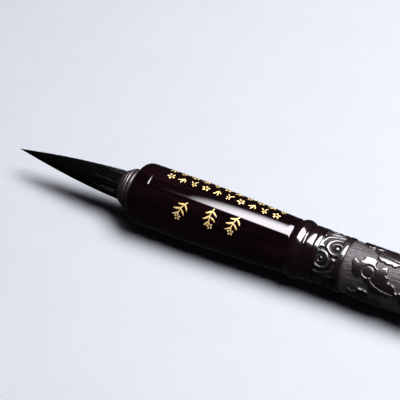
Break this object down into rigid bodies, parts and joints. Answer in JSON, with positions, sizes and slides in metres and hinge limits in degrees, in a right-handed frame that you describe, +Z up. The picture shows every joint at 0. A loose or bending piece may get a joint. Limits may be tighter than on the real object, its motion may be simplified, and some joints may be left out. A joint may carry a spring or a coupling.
{
  "type": "calligraphy brush",
  "caption": "Calligraphy brush: pointed black tuft, stepped nose, thick lacquered barrel, turned rings and a long carved handle with a bored tail knob for hanging.",
  "frame": {"origin": "on the surface the brush lies on, under the middle of its length and on its long axis", "axes": "+X along the handle from the tuft's point to the tail, +Y to the side, +Z up from the surface it lies on"},
  "size_m": [0.2688, 0.019, 0.019],
  "materials": {
    "hair": "straight black animal hair, slightly glossy",
    "thread": "waxed linen thread, matt",
    "resin": "dark set resin",
    "nose_wood": "very dark turned wood, satin polish",
    "barrel_wood": "near-black red-brown wood under a high-gloss lacquer",
    "ring_wood": "near-black red-brown wood, polished",
    "carved_wood": "near-black carved wood: polished raised work on a matt worked ground",
    "eyelet_brass": "worn satin brass"
  },
  "bodies": {
    "handle": {"hair_core_root": "hair", "hair_mantle_root": "hair", "binding_thread": "thread", "root_seal": "resin", "nose_ferrule": "nose_wood", "head_barrel": "barrel_wood", "bead_ring": "ring_wood", "wide_ring": "ring_wood", "narrow_ring": "ring_wood", "carved_collar": "carved_wood", "shaft": "carved_wood", "tail_collar": "carved_wood", "tail_narrow_ring": "ring_wood", "tail_wide_ring": "ring_wood", "tail_bead_ring": "ring_wood", "tail_finial": "ring_wood", "cord_eyelet": "eyelet_brass", "eyelet_washer": "eyelet_brass"},
    "tuft": {"hair_core_point": "hair", "hair_mantle_point": "hair"}
  },
  "joints": [
    {"name": "tuft_bend", "type": "hinge", "parent": "handle", "child": "tuft", "pos_m": [-0.10343, 0, 0.0095], "axis": [0, 0, 1], "range_deg": [-35, 35], "stiffness_Nm_per_rad": 0.006}
  ]
}
